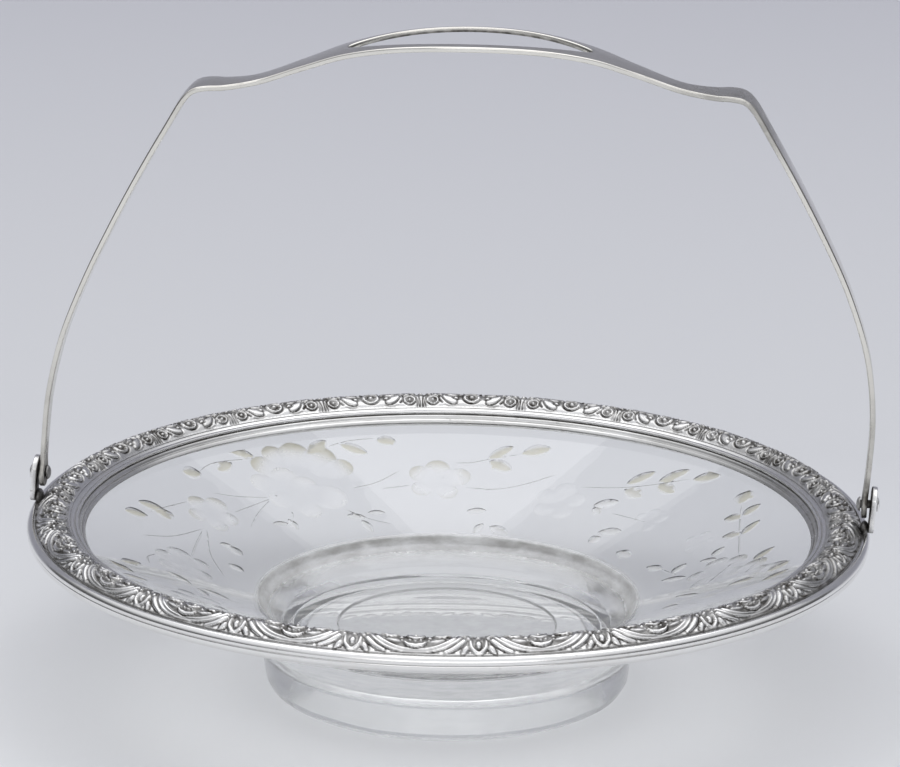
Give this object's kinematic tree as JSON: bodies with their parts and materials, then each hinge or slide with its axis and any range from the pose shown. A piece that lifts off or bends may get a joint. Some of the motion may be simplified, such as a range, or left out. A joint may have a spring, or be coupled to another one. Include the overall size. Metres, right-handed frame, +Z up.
{
  "type": "bonbon dish",
  "caption": "Flared clear glass dish on a ring foot, with an embossed silver rim and a pierced strip handle that swings down to either side.",
  "frame": {"origin": "centre of the foot's resting face", "axes": "+Z up along the dish's axis; X along the line through both handle rivets; the picture looks from -Y"},
  "size_m": [0.1635, 0.161, 0.127],
  "materials": {
    "clear_glass": "clear, polished, with frosted cut flowers",
    "embossed_silver": "stamped silver, dark in its recesses",
    "plain_silver": "polished silver with fine wear",
    "fitting_silver": "polished silver, tarnished in its joints",
    "handle_silver": "polished silver with tarnish spots",
    "rim_fill": "matt plaster"
  },
  "bodies": {
    "dish": {"glass_dish": "clear_glass", "rim_border": "embossed_silver", "rim_collar": "plain_silver", "rim_underplate": "plain_silver", "rim_cement": "rim_fill", "ear_left": "fitting_silver", "ear_right": "fitting_silver", "rivet_left": "fitting_silver", "rivet_right": "fitting_silver"},
    "bail": {"bail_handle": "handle_silver"}
  },
  "joints": [
    {"name": "bail_swing", "type": "hinge", "parent": "dish", "child": "bail", "pos_m": [0, 0, 0.039], "axis": [1, 0, 0], "range_deg": [-92, 92]}
  ]
}
